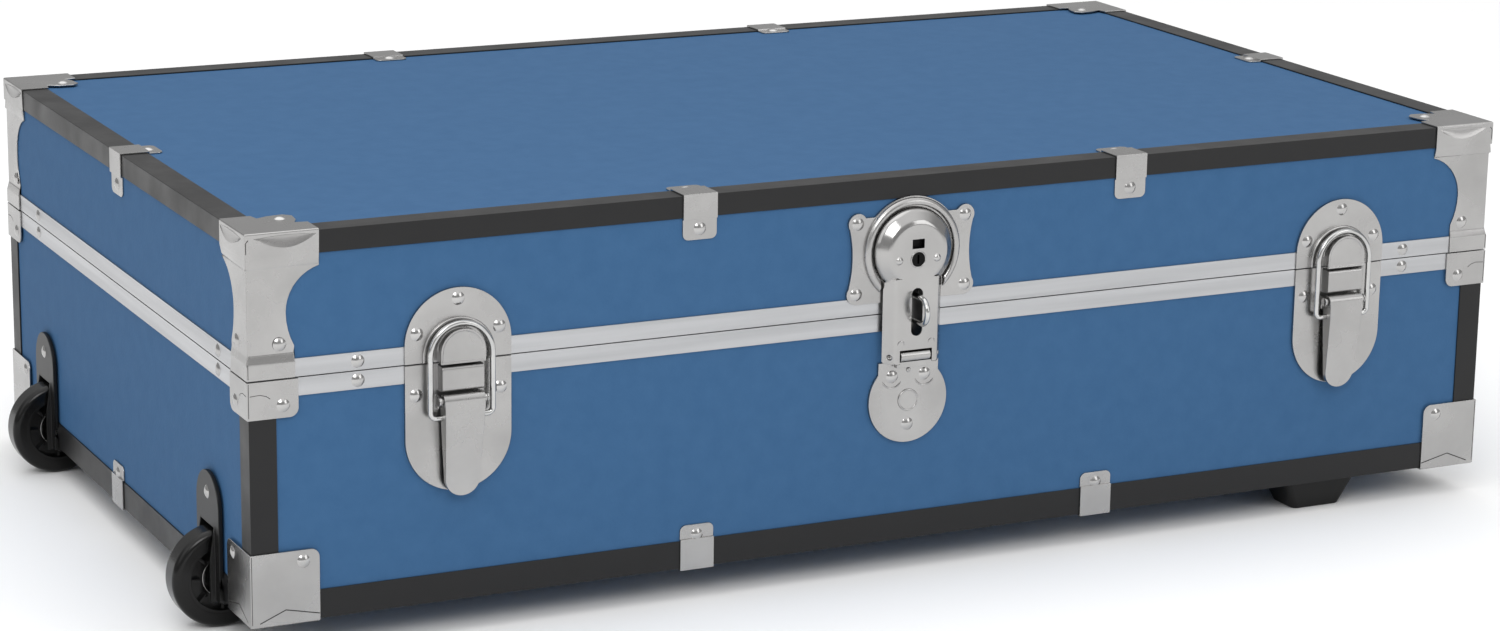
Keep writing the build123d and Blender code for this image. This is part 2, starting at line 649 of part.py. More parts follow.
def lock_upper_plate():
    """Escutcheon on the lid: four lobes, a raised ring and a tongue behind the hasp's neck."""
    x = LOCK_X
    outline = Line((x - 35, 191), (x + 35, 191)) + Line((x + 35, 191), (x + 39.4, 186))
    outline += ThreePointArc((x + 39.4, 186), (x + 37.2, 168), (x + 39.8, 149.5))
    outline += Line((x + 39.8, 149.5), (x + 35, 141.4)) + Line((x + 35, 141.4), (x - 35, 141.4))
    outline += Line((x - 35, 141.4), (x - 39.8, 149.5))
    outline += ThreePointArc((x - 39.8, 149.5), (x - 37.2, 168), (x - 39.4, 186))
    outline += Line((x - 39.4, 186), (x - 35, 191))
    face = make_face(outline)
    for u, z in ((-34.1, 188.0), (34.1, 188.0), (-34.6, 147.5), (34.6, 147.5)):
        face += Pos(x + u, z) * Circle(5.9)
    face += Pos(x, LOCK_Z) * Circle(RING_R + 0.7)
    face += Pos(x, 139) * Rectangle(22, 8.2)
    body = plate_on_board(face, SEAM_Z, SEAM_Z + SEAM_GAP + BAND_H + 0.2)
    body -= block(x - 40, x + 40, 0, SKIN, CASE_H - TOP_BINDING_SIDE - 0.2, CASE_H)
    body += plate_xz(Pos(x, 131) * Rectangle(22, 24), -2 * SKIN, -SKIN)
    bead = turned([(RING_INNER_R, -0.5), (RING_INNER_R, -3.2), (27, -4), (28.6, -4), (RING_R, -2.6), (RING_R, -0.5)])
    bead -= block(x - 20, x + 20, -6, -SKIN, 130, 158)
    strike = block(x - 6.5, x + 6.5, -6.6, -5.2, 183, 186)
    for u in (-6.5, 5.0):
        strike += block(x + u, x + u + 1.5, -6.6, -0.5, 183, 186)
    return body + bead + strike


def lock_staple():
    """Padlock eye: a D of round wire that stands out through the hasp's slot."""
    x = LOCK_X
    bend = (STAPLE_HIGH - STAPLE_LOW) / 2
    low_end = (x, -STAPLE_REACH, STAPLE_LOW)
    high_end = (x, -STAPLE_REACH, STAPLE_HIGH)
    path = Line((x, 0, STAPLE_LOW), low_end)
    path += ThreePointArc(low_end, (x, -STAPLE_REACH - bend, STAPLE_LOW + bend), high_end)
    path += Line(high_end, (x, 0, STAPLE_HIGH))
    section = Plane(origin=(x, 0, STAPLE_LOW), z_dir=(0, -1, 0)) * Circle(STAPLE_R)
    return sweep(section, path=Wire(path.edges()))


def lock_hasp():
    """Pressed hasp: a dished disc that nests in the ring and a channel neck down to its hinge."""
    x = LOCK_X
    back = NECK_BACK_Y
    bottom = HASP_AXIS_Z - 3.9
    disc_outer = [(0, -1.6), (DOME_R, -1.6), (24.4, -4.6), (DOME_FACE_R, FACE_Y), (0, FACE_Y)]
    disc_inner = [(0, 0), (24, 0), (24, -1.6), (23.4, -4.3), (DOME_FACE_R - 0.6, FACE_Y + 1), (0, FACE_Y + 1)]
    outer = Polygon(
        (x - NECK_HALF, back), (x - NECK_FACE_HALF, FACE_Y), (x + NECK_FACE_HALF, FACE_Y),
        (x + NECK_HALF, back), align=None)
    inner = Polygon(
        (x - NECK_HALF + 1.1, back + 3), (x - NECK_HALF + 1.1, back), (x - NECK_FACE_HALF + 0.7, FACE_Y + 1),
        (x + NECK_FACE_HALF - 0.7, FACE_Y + 1), (x + NECK_HALF - 1.1, back), (x + NECK_HALF - 1.1, back + 3),
        align=None)
    neck_top = 156
    solid = raised(outer, bottom, neck_top)
    solid += turned(disc_outer)
    hollow = raised(inner, bottom - 1, neck_top)
    hollow += turned(disc_inner)
    body = solid - hollow
    slot = Pos(x, 136.3) * SlotOverall(27.6, 7, rotation=90)
    body -= plate_xz(slot, -14, -6)
    body -= block(x - 10.2, x + 10.2, -12, 0, HASP_AXIS_Z - 6, HASP_AXIS_Z + 3.9)
    body -= plate_xz(Pos(x, KEY_Z) * Circle(KEY_R + RUNNING_GAP), -14, -6)
    body -= block(x - 3.8, x + 3.8, -14, -8, 172.9, 178.2)
    toe = rod((x - 25, HASP_AXIS_Y, HASP_AXIS_Z), (x + 25, HASP_AXIS_Y, HASP_AXIS_Z), 4.9)
    keep = toe + block(x - 40, x + 40, -20, 5, HASP_AXIS_Z, 220)
    body &= keep
    ears = rod((x - 17.5, HASP_AXIS_Y, HASP_AXIS_Z), (x - 10.5, HASP_AXIS_Y, HASP_AXIS_Z), 3.4)
    ears += rod((x + 10.5, HASP_AXIS_Y, HASP_AXIS_Z), (x + 17.5, HASP_AXIS_Y, HASP_AXIS_Z), 3.4)
    body += ears & raised(outer, bottom - 5, bottom + 35)
    pin_hole = HASP_PIN_R + RUNNING_GAP
    return body - rod((x - 30, HASP_AXIS_Y, HASP_AXIS_Z), (x + 30, HASP_AXIS_Y, HASP_AXIS_Z), pin_hole)


def lock_case():
    """Can behind the hasp's face that houses the plug and guides the bolt."""
    x = LOCK_X
    case = plate_xz(Pos(x, KEY_Z) * Circle(10), FACE_Y + 1, -2.2)
    case += block(x - 5.5, x + 5.5, FACE_Y + 1, -2.2, KEY_Z, KEY_Z + 12)
    case -= plate_xz(Pos(x, KEY_Z) * Circle(KEY_R + RUNNING_GAP), -14, -3.2)
    case -= block(x - 3.1, x + 3.1, -4.9, -2.1, KEY_Z + 4.5, KEY_Z + 20)
    for u in (-CASE_RIVETS_U, CASE_RIVETS_U):
        case += plate_xz(Pos(x + u, KEY_Z) * Circle(3), FACE_Y + 1, -6)
    case -= block(x - 3.9, x + 3.9, -14, -6, 172.9, 178.2)
    return case


def lock_case_rivet(u):
    """Small domed rivet through the hasp's face and a lug of the lock case."""
    plane = Plane(origin=(LOCK_X + u, FACE_Y, KEY_Z), z_dir=(0, 1, 0))
    head = Pos(0, 0, 1.6) * Sphere(2.8) & Pos(0, 0, -0.6) * Cylinder(3, 1.2)
    return plane.location * (head + Pos(0, 0, 1.9) * Cylinder(1.1, 4.0))


def lock_plug():
    """Key plug with its keyway."""
    x = LOCK_X
    plug = plate_xz(Pos(x, KEY_Z) * Circle(KEY_R), FACE_Y, -3.4)
    return plug - block(x - 0.6, x + 0.6, -14, -4.6, KEY_Z - 2.6, KEY_Z + 2.6)


def lock_bolt():
    """Flat bolt that rises behind the strike when the key is turned."""
    x = LOCK_X
    return block(x - 3, x + 3, -4.8, -2.3, KEY_Z + 4.7, KEY_Z + 14.3)


def lock_lower_plate():
    """Round plate on the base with the knuckle that carries the hasp."""
    x = LOCK_X
    face = Pos(x, LOWER_DISC_Z) * Circle(LOWER_DISC_R)
    face += Pos(x, 96) * Rectangle(38.4, 20)
    body = plate_xz(face, -SKIN, SKIN)
    body += block(x - 9.4, x + 9.4, KNUCKLE_ROOT_Y, 0, 103, HASP_AXIS_Z)
    body += rod((x - 9.4, HASP_AXIS_Y, HASP_AXIS_Z), (x + 9.4, HASP_AXIS_Y, HASP_AXIS_Z), 3.3)
    body -= rod((x - 20, HASP_AXIS_Y, HASP_AXIS_Z), (x + 20, HASP_AXIS_Y, HASP_AXIS_Z), HASP_PIN_R)
    boss = plate_xz(Pos(x, LOWER_DISC_Z) * Circle(6), -1.4, 0)
    return body + boss


def make_lock():
    x = LOCK_X
    add("lock_upper_plate", lock_upper_plate())
    add("lock_staple", lock_staple())
    add("lock_hasp", lock_hasp())
    add("lock_case", lock_case())
    add("lock_case_rivets", lock_case_rivet(-CASE_RIVETS_U), lock_case_rivet(CASE_RIVETS_U))
    add("lock_plug", lock_plug())
    add("lock_bolt", lock_bolt())
    add("lock_lower_plate", lock_lower_plate())
    pin_left = (x - HASP_PIN_HALF, HASP_AXIS_Y, HASP_AXIS_Z)
    pin_right = (x + HASP_PIN_HALF, HASP_AXIS_Y, HASP_AXIS_Z)
    add("lock_hasp_pin", rod(pin_left, pin_right, HASP_PIN_R))


# ---- Back hinges ----

def hinge_leaf(x, upper):
    """One leaf with its share of the knuckles: the lid has the middle one, the base the outer two."""
    half = HINGE_W / 2
    third = HINGE_W / 6
    side = 1 if upper else -1
    near = SEAM_Z + side * (KNUCKLE_R + 0.4)
    far = near + side * (LEAF_H - KNUCKLE_R)
    z0 = min(near, far)
    z1 = max(near, far)
    leaf = block(x - half, x + half, CASE_D, CASE_D + LEAF_T, z0, z1)
    spans = [(-third + 0.2, third - 0.2)] if upper else [(-half, -third - 0.2), (third + 0.2, half)]
    for a, b in spans:
        root = sorted((SEAM_Z + side * 1.0, near + side * 0.5))
        leaf += block(x + a, x + b, CASE_D, CASE_D + LEAF_T, root[0], root[1])
        leaf += rod((x + a, HINGE_Y, SEAM_Z), (x + b, HINGE_Y, SEAM_Z), KNUCKLE_R)
        leaf += block(x + a, x + b, CASE_D + 0.6, HINGE_Y, min(root[0], SEAM_Z + side * 3.1), root[1])
    bore = HINGE_PIN_R + (RUNNING_GAP if upper else 0)
    return leaf - rod((x - 40, HINGE_Y, SEAM_Z), (x + 40, HINGE_Y, SEAM_Z), bore)


def make_hinges():
    for x in HINGES_X:
        add("hinge_lid_leaves", hinge_leaf(x, True))
        add("hinge_base_leaves", hinge_leaf(x, False))
        half = HINGE_W / 2 + 0.6
        add("hinge_pins", rod((x - half, HINGE_Y, SEAM_Z), (x + half, HINGE_Y, SEAM_Z), HINGE_PIN_R))


# ---- End handle ----

def handle_bracket(y):
    """Plate with a bored block that the wire turns in."""
    face = CASE_L - SKIN
    plate = block(face, face + 1.4, y - 9, y + 9, HANDLE_Z - 20, HANDLE_Z + 20)
    plate = fillet(plate.edges().filter_by(Axis.X), radius=5)
    plate += block(face, HANDLE_X + 4.6, y - 5, y + 5, HANDLE_Z - 5, HANDLE_Z + 5)
    return plate - rod((HANDLE_X, y - 20, HANDLE_Z), (HANDLE_X, y + 20, HANDLE_Z), HANDLE_WIRE_R + RUNNING_GAP)


def handle_wire():
    """U of steel wire whose ends turn outward into the brackets."""
    x = HANDLE_X
    inner = HANDLE_HALF
    low = HANDLE_Z - HANDLE_DROP
    bend = 5
    start = (x, HANDLE_Y - inner - 17, HANDLE_Z)
    corners = [start, (x, HANDLE_Y - inner, HANDLE_Z), (x, HANDLE_Y - inner, low)]
    corners += [(x, HANDLE_Y + inner, low), (x, HANDLE_Y + inner, HANDLE_Z), (x, HANDLE_Y + inner + 17, HANDLE_Z)]
    path = FilletPolyline(*corners, radius=bend)
    section = Plane(origin=start, z_dir=(0, 1, 0)) * Circle(HANDLE_WIRE_R)
    return sweep(section, path=path)


def handle_grip():
    """Moulded grip threaded on the wire."""
    low = HANDLE_Z - HANDLE_DROP
    start = (HANDLE_X, HANDLE_Y - GRIP_L / 2, low)
    end = (HANDLE_X, HANDLE_Y + GRIP_L / 2, low)
    grip = rod(start, end, GRIP_R)
    grip = fillet(grip.edges().filter_by(GeomType.CIRCLE), radius=2.5)
    return grip - rod((HANDLE_X, 0, low), (HANDLE_X, CASE_D, low), HANDLE_WIRE_R)


def make_handle():
    for y in (HANDLE_Y - HANDLE_HALF - 10, HANDLE_Y + HANDLE_HALF + 10):
        add("handle_brackets", handle_bracket(y))
    add("handle_wire", handle_wire())
    add("handle_grip", handle_grip())


# ---- Rivets ----

def corner_rivets(offset, z, seat):
    """Rivets in the front and side flanges of all four corners."""
    grip = INSIDE + LINING + seat
    for x, side_x, into_x in ((offset, -seat, 1), (CASE_L - offset, CASE_L + seat, -1)):
        for y, side_y, into_y in ((offset, -seat, 1), (CASE_D - offset, CASE_D + seat, -1)):
            yield rivet((x, side_y, z), (0, into_y, 0), grip)
            yield rivet((side_x, y, z), (into_x, 0, 0), grip)


def flat_corner_rivets(offset, z, inward):
    """Rivets in the top or bottom flange of all four corners."""
    for x in (offset, CASE_L - offset):
        for y in (offset, CASE_D - offset):
            yield rivet((x, y, z), (0, 0, inward), INSIDE + LINING + SKIN)


def clamp_rivets(clamps, level, inward):
    """Two rivets in each clamp, one near the end of each leg."""
    reach = CLAMP_LEG - 6.2
    grip = INSIDE + LINING
    for _, x, y, into in clamp_places(clamps):
        yield rivet((x, y, level + inward * reach), into, grip)
        yield rivet((x + into[0] * reach, y + into[1] * reach, level), (0, 0, inward), grip)


def band_rivets(z):
    """Rivets that hold a rim band near the ends of each side."""
    grip = INSIDE + SKIN
    for x in (60.8, CASE_L - 59.9):
        yield rivet((x, 0, z), (0, 1, 0), grip)
        yield rivet((x, CASE_D, z), (0, -1, 0), grip)
    for y in (49.4, CASE_D - 66.4):
        yield rivet((0, y, z), (1, 0, 0), grip)
        yield rivet((CASE_L, y, z), (-1, 0, 0), grip)


def front_rivets(places, seat):
    grip = INSIDE + LINING + seat
    for x, z in places:
        yield rivet((x, -seat, z), (0, 1, 0), grip)


def hinge_rivets(upper):
    side = 1 if upper else -1
    for x in HINGES_X:
        for u, rise in ((-15, 12), (15, 12), (0, 22)):
            point = (x + u, CASE_D + LEAF_T, SEAM_Z + side * rise)
            yield rivet(point, (0, -1, 0), INSIDE + LINING + LEAF_T)


def make_rivets():
    lid = list(corner_rivets(17.6, 153.2, 0))
    lid += list(flat_corner_rivets(28.5, CASE_H + SKIN, -1))
    lid += list(clamp_rivets(LID_CLAMPS, CASE_H, -1))
    lid += list(band_rivets(139.8))
    for x in LATCHES_X.values():
        lid += list(front_rivets([(x, 168.8), (x - 23.6, 151.2), (x + 23.6, 151.2)], SKIN))
    lobes = [(-34.1, 188.0), (34.1, 188.0), (-34.6, 147.5), (34.6, 147.5)]
    lid += list(front_rivets([(LOCK_X + u, z) for u, z in lobes], SKIN))
    lid += list(hinge_rivets(True))
    add("lid_rivets", *lid)

    base = list(corner_rivets(18.8, 120.3, SKIN))
    base += list(corner_rivets(28.8, 33.4, SKIN))
    base += list(flat_corner_rivets(26.0, -SKIN, 1))
    base += list(clamp_rivets(BASE_CLAMPS, 0, 1))
    base += list(band_rivets(129.3))
    for x in LATCHES_X.values():
        base += list(front_rivets([(x - 24.2, 117.5), (x + 24.2, 117.5)], SKIN))
    base += list(front_rivets([(LOCK_X - 10.4, 97.4), (LOCK_X + 10.4, 97.4), (LOCK_X, 68.8)], SKIN))
    base += list(hinge_rivets(False))
    for y in WHEELS_Y.values():
        base.append(rivet((-BRACKET_T, y, 57.0), (1, 0, 0), INSIDE + LINING + BRACKET_T))
        base.append(rivet((WELL_DEPTH + 9, y, -2.0), (0, 0, 1), INSIDE + LINING + 2.0))
    for y in (HANDLE_Y - HANDLE_HALF - 10, HANDLE_Y + HANDLE_HALF + 10):
        for dz in (-13, 13):
            base.append(rivet((CASE_L + 0.4, y, HANDLE_Z + dz), (-1, 0, 0), INSIDE + LINING + 0.4))
    add("base_rivets", *base)


def export_all():
    """Move everything to the part's own frame and write one STEP file per node."""
    os.makedirs("parts", exist_ok=True)
    boxes = [solid.bounding_box() for solids in NODES.values() for solid in solids]
    mid_x = (min(box.min.X for box in boxes) + max(box.max.X for box in boxes)) / 2
    mid_y = (min(box.min.Y for box in boxes) + max(box.max.Y for box in boxes)) / 2
    shift = Pos(-mid_x, -mid_y, -min(box.min.Z for box in boxes))
    print("shift", shift.position)
    for name, solids in NODES.items():
        moved = [solid.moved(shift) for solid in solids]
        shape = moved[0] if len(moved) == 1 else Compound(children=moved)
        shape.label = name
        export_step(shape, "parts/" + name + ".step")


make_base_boards()
make_lid_boards()
make_bindings()
make_rim_bands()
make_corners()
make_clamps()
make_wheels()
make_feet()
make_latches()
make_lock()
make_hinges()
make_handle()
make_rivets()
export_all()
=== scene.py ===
import json
import math

import bmesh
import bpy
from mathutils import Matrix, Vector


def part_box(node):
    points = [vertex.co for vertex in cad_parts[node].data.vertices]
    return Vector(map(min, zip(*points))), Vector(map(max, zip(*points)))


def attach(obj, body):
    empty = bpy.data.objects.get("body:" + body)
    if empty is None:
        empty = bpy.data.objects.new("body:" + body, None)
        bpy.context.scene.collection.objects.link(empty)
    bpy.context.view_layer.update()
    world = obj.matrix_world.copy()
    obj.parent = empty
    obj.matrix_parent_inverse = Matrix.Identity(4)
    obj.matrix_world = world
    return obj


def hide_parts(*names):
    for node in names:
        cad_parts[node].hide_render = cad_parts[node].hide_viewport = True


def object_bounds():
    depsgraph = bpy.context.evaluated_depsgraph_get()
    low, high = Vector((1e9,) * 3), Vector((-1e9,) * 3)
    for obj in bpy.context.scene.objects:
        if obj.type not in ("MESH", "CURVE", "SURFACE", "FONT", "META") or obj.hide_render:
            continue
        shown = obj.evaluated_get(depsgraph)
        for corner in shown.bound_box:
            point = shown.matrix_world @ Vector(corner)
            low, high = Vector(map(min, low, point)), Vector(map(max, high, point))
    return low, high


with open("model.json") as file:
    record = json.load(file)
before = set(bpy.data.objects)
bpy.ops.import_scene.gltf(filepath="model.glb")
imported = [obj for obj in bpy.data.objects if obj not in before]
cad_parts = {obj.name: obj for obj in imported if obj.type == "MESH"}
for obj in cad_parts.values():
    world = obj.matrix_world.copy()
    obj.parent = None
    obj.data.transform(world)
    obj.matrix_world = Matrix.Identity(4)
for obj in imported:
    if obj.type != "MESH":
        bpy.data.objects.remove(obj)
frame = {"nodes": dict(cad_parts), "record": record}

# Case coordinates are millimetres from the case's lower front left corner: X along the front,
# Y to the back, Z up. They are read off the CAD bindings, which run round every edge.
MM = 0.001
CAD_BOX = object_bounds()
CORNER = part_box("base_bottom_binding")[0]
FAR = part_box("lid_edge_binding")[1]
CASE_L, CASE_D, CASE_H = [(FAR[i] - CORNER[i]) / MM for i in range(3)]
FLOOR_Z = CAD_BOX[0][2]

# ---- Camera, in case coordinates ----
CAMERA_AT = (-610.33, -1838.83, 665.09)
CAMERA_AZIMUTH = -26.108
CAMERA_ELEVATION = 14.333
CAMERA_ROLL = 0.843
CAMERA_LENS = 91.71

# ---- Light ----
# Strength of the world overhead, and the share of it that the walls keep
CEILING_LIGHT = 1.26
WALL_LIGHT = 0.36
# Where the area lights look, in scene metres
LIGHT_TARGET = Vector((0, 0, 0.1))


def at(x, y, z):
    """Case millimetres to scene metres."""
    return CORNER + Vector((x, y, z)) * MM


def case_mm(point):
    """Scene metres to case millimetres."""
    return (point - CORNER) / MM


def linear(*rgb):
    """Screen colour, 0 to 255, to scene colour."""
    shares = [c / 255 for c in rgb]
    return [s / 12.92 if s < 0.042 else ((s + 0.055) / 1.055) ** 2.4 for s in shares] + [1.0]


def case_box(node):
    """The two corners of a CAD node's box, in case millimetres."""
    return [case_mm(corner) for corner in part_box(node)]


# ---- Places on the case, in case millimetres ----

# Lock, about the axis of its dome
DOME_R = 25.0
DOME_FACE_R = 17.5
DOME_FOOT_R = 24.4
DOME_FOOT_Y = -4.6
HASP_FACE_Y = -9.5
NECK_FACE_HALF = 13.5
LOCK_BOX = case_box("lock_hasp")
LOCK_X = (LOCK_BOX[0].x + LOCK_BOX[1].x) / 2
LOCK_Z = LOCK_BOX[1].z - DOME_R
RING_INNER_R = 26.0
RING_R = 30.3
RING_TOP_Y = -2.4
KEYHOLE_RIM_R = 4.55
HINGE_MARK_REACH = 9.7
HINGE_MARK_Z = 118.2
LOWER_DISC_R = 25.0
LOWER_PLATE_Y = -1.0

# Catch of each draw latch
CATCH_Y = case_box("latch_keeper_left")[0].y
CATCH_SHOULDER_Y = -2.6

# Pressed corners stand this far proud of the bindings
FLANGE = 1.0
BAND_STEP_Z = case_box("lid_rim_band")[1].z + FLANGE
BINDING_STEP_Z = case_box("lid_edge_binding")[0].z - FLANGE

# Marks on the corners' flanges, as (distance along the flange, height). FOLD is the tuck under the
# top flange; the seams and the crease are drawn as dark strips of painted shade.
FOLD = ((4.0, 210.8), (21.7, 205.4), (38.4, 211.2))
FOLD_THICK = 0.95
BOTTOM_SEAM = [(4.0, 1.5), (18.5, 7.6), (37.5, 3.3)]
RIM_CREASE = [(0.5, 126.8), (6.0, 127.2), (9.5, 126.2), (11.7, 124.6)]
LID_EDGE_SEAM = [(-0.2, 136), (-0.2, 144)]
LID_TOP_SEAM = [(-0.2, 203), (-0.2, 209), (1.2, 210.6)]
RIM_EDGE_SEAM = [(-0.2, 115), (-0.2, 133.6)]
BOTTOM_EDGE_SEAM = [(-0.2, 1), (-0.2, 39)]


# ---- Materials ----

def new_material(name, rgb, roughness, metallic=0.0, specular=0.5):
    material = bpy.data.materials.new(name)
    material.use_nodes = True
    shader = material.node_tree.nodes["Principled BSDF"]
    shader.inputs["Base Color"].default_value = linear(*rgb)
    shader.inputs["Roughness"].default_value = roughness
    shader.inputs["Metallic"].default_value = metallic
    shader.inputs["Specular IOR Level"].default_value = specular
    return material, material.node_tree, shader


def noise_node(tree, scale, detail=3.0, stretch=(1, 1, 1)):
    """Noise in object space, with its own stretch."""
    coords = tree.nodes.new("ShaderNodeTexCoord")
    mapping = tree.nodes.new("ShaderNodeMapping")
    mapping.inputs["Scale"].default_value = stretch
    noise = tree.nodes.new("ShaderNodeTexNoise")
    noise.inputs["Scale"].default_value = scale
    noise.inputs["Detail"].default_value = detail
    tree.links.new(coords.outputs["Object"], mapping.inputs["Vector"])
    tree.links.new(mapping.outputs["Vector"], noise.inputs["Vector"])
    return noise


def ramp_node(tree, source, stops):
    """Colour ramp with (position, rgba) stops."""
    ramp = tree.nodes.new("ShaderNodeValToRGB")
    elements = ramp.color_ramp.elements
    while len(elements) < len(stops):
        elements.new(0.5)
    for element, (position, color) in zip(elements, stops):
        element.position = position
        element.color = color
    tree.links.new(source, ramp.inputs["Fac"])
    return ramp


def grey(value):
    return (value, value, value, 1.0)


def add_bump(tree, shader, height, strength, distance):
    bump = tree.nodes.new("ShaderNodeBump")
    bump.inputs["Strength"].default_value = strength
    bump.inputs["Distance"].default_value = distance
    tree.links.new(height, bump.inputs["Height"])
    tree.links.new(bump.outputs["Normal"], shader.inputs["Normal"])


def make_vinyl():
    """Blue vinyl facing with a fine leather grain."""
    material, tree, shader = new_material("blue vinyl", (58, 94, 132), 0.66, specular=0.1)
    coords = tree.nodes.new("ShaderNodeTexCoord")
    cells = tree.nodes.new("ShaderNodeTexVoronoi")
    cells.feature = "SMOOTH_F1"
    cells.inputs["Scale"].default_value = 620
    tree.links.new(coords.outputs["Object"], cells.inputs["Vector"])
    soft = noise_node(tree, 260, 4.0)
    both = tree.nodes.new("ShaderNodeMath")
    both.operation = "ADD"
    tree.links.new(cells.outputs["Distance"], both.inputs[0])
    tree.links.new(soft.outputs["Fac"], both.inputs[1])
    add_bump(tree, shader, both.outputs["Value"], 0.22, 0.0003)
    tint = noise_node(tree, 90, 5.0)
    tones = [(0.3, linear(56, 92, 130)), (0.7, linear(60, 96, 134))]
    ramp = ramp_node(tree, tint.outputs["Fac"], tones)
    tree.links.new(ramp.outputs["Color"], shader.inputs["Base Color"])
    return material


def make_black_binding():
    material, tree, shader = new_material("black binding", (19, 19, 20), 0.45, specular=0.35)
    shade = noise_node(tree, 40, 3.0)
    ramp = ramp_node(tree, shade.outputs["Fac"], [(0.3, grey(0.34)), (0.7, grey(0.46))])
    tree.links.new(ramp.outputs["Color"], shader.inputs["Roughness"])
    return material


def make_metal(name, rgb, roughness, spread, scale, stretch=(1, 1, 1), bump=0.0):
    """Bare metal whose roughness and tone drift over the surface."""
    material, tree, shader = new_material(name, rgb, roughness, metallic=1.0)
    shade = noise_node(tree, scale, 5.0, stretch)
    low = grey(max(roughness - spread, 0.03))
    high = grey(roughness + spread)
    rough = ramp_node(tree, shade.outputs["Fac"], [(0.3, low), (0.7, high)])
    tree.links.new(rough.outputs["Color"], shader.inputs["Roughness"])
    dark = [c * 0.93 for c in rgb]
    tone = ramp_node(tree, shade.outputs["Fac"], [(0.3, linear(*rgb)), (0.72, linear(*dark))])
    tree.links.new(tone.outputs["Color"], shader.inputs["Base Color"])
    if bump:
        add_bump(tree, shader, shade.outputs["Fac"], bump, 0.0004)
    return material


def make_plastic(name, rgb, roughness, bump=0.0, specular=0.3):
    material, tree, shader = new_material(name, rgb, roughness, specular=specular)
    if bump:
        add_bump(tree, shader, noise_node(tree, 500).outputs["Fac"], bump, 0.0002)
    return material


def make_paper():
    material, tree, shader = new_material("lining paper", (196, 188, 170), 0.85)
    add_bump(tree, shader, noise_node(tree, 300).outputs["Fac"], 0.15, 0.0002)
    return material


VINYL = make_vinyl()
BINDING = make_black_binding()
ALUMINIUM = (186, 187, 189)
BAND_X = make_metal("band along X", ALUMINIUM, 0.34, 0.06, 160, stretch=(0.03, 1, 1), bump=0.04)
BAND_Y = make_metal("band along Y", ALUMINIUM, 0.34, 0.06, 160, stretch=(1, 0.03, 1), bump=0.04)
NICKEL = make_metal("nickel", (174, 173, 172), 0.27, 0.05, 30, bump=0.04)
HASP = make_metal("polished nickel", (174, 173, 172), 0.17, 0.05, 24)
# Dark strips for the seams and creases: painted shade of their grooves.
SEAM_SHADE = make_plastic("shadowed seam", (44, 43, 42), 0.6)
BRIGHT = make_metal("bright nickel", (186, 185, 184), 0.16, 0.05, 60)
WIRE = make_metal("plated wire", (196, 196, 195), 0.14, 0.04, 90)
ZINC = make_metal("zinc", (120, 120, 120), 0.4, 0.08, 70)
# Near black for the keyhole plug and the lock case: painted shade, so that the keyhole reads as a
# dark hole.
KEYHOLE_SHADE_STEEL = make_metal("near black steel painted as keyhole shade", (34, 34, 34), 0.5, 0.1, 70)
HOUSING = make_plastic("black housing", (16, 16, 16), 0.38, bump=0.08)
GLOSS = make_plastic("gloss black", (14, 14, 14), 0.22)
TYRE = make_plastic("hard tyre", (9, 9, 9), 0.2)
FOOT = make_plastic("black foot", (15, 15, 15), 0.5, bump=0.08)
PAPER = make_paper()


# ---- Shapes ----

def finish_mesh(name, bm, materials, body, smooth_below=40):
    """Turn a bmesh into a shaded object that rides on a body."""
    bmesh.ops.recalc_face_normals(bm, faces=bm.faces)
    for face in bm.faces:
        face.smooth = True
    for edge in bm.edges:
        edge.smooth = edge.is_manifold and edge.calc_face_angle() < math.radians(smooth_below)
    mesh = bpy.data.meshes.new(name)
    bm.to_mesh(mesh)
    bm.free()
    for material in materials:
        mesh.materials.append(material)
    piece = bpy.data.objects.new(name, mesh)
    bpy.context.scene.collection.objects.link(piece)
    weighted = piece.modifiers.new("even shading", "WEIGHTED_NORMAL")
    weighted.keep_sharp = True
    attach(piece, body)
    return piece


def body_of_node(node):
    for body, members in frame["record"]["behaviour"]["bodies"].items():
        if node in members:
            return body


def merged_copy(node):
    """The node's mesh with its flat facets joined into single faces."""
    bm = bmesh.new()
    bm.from_mesh(frame["nodes"][node].data)
    bmesh.ops.remove_doubles(bm, verts=bm.verts, dist=2e-6)
    bmesh.ops.dissolve_limit(bm, angle_limit=math.radians(0.8), verts=bm.verts, edges=bm.edges)
    return bm


def roll_edges(bm, chosen, width, segments):
    """Round over the edges whose two ends both satisfy a test in case millimetres."""
    edges = []
    for edge in bm.edges:
        sharp = edge.is_manifold and edge.calc_face_angle() > math.radians(8)
        if sharp and all(chosen(case_mm(vert.co)) for vert in edge.verts):
            edges.append(edge)
    bmesh.ops.bevel(
        bm, geom=edges, offset=width * MM, offset_type="OFFSET", segments=segments, profile=0.5,
        affect="EDGES", clamp_overlap=False)


def break_edges(bm, width):
    """Take the sharpness off every remaining hard edge."""
    sharp = [e for e in bm.edges if e.is_manifold and e.calc_face_angle() > math.radians(33)]
    bmesh.ops.bevel(
        bm, geom=sharp, offset=width * MM, offset_type="OFFSET", segments=2, profile=0.5,
        affect="EDGES", clamp_overlap=False)


def refined(node, material, rounding, reshape=None):
    """Stand-in for a CAD node, with its facets merged and its sharp edges rolled over."""
    bm = merged_copy(node)
    if reshape:
        reshape(bm)
    if rounding:
        break_edges(bm, rounding)
    piece = finish_mesh(node + "_looks", bm, [material], body_of_node(node))
    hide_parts(node)
    return piece


def paint(node, material):
    """Give a CAD node that stays as it is a better material."""
    for slot in frame["nodes"][node].material_slots:
        slot.material = material


# ---- Bands ----

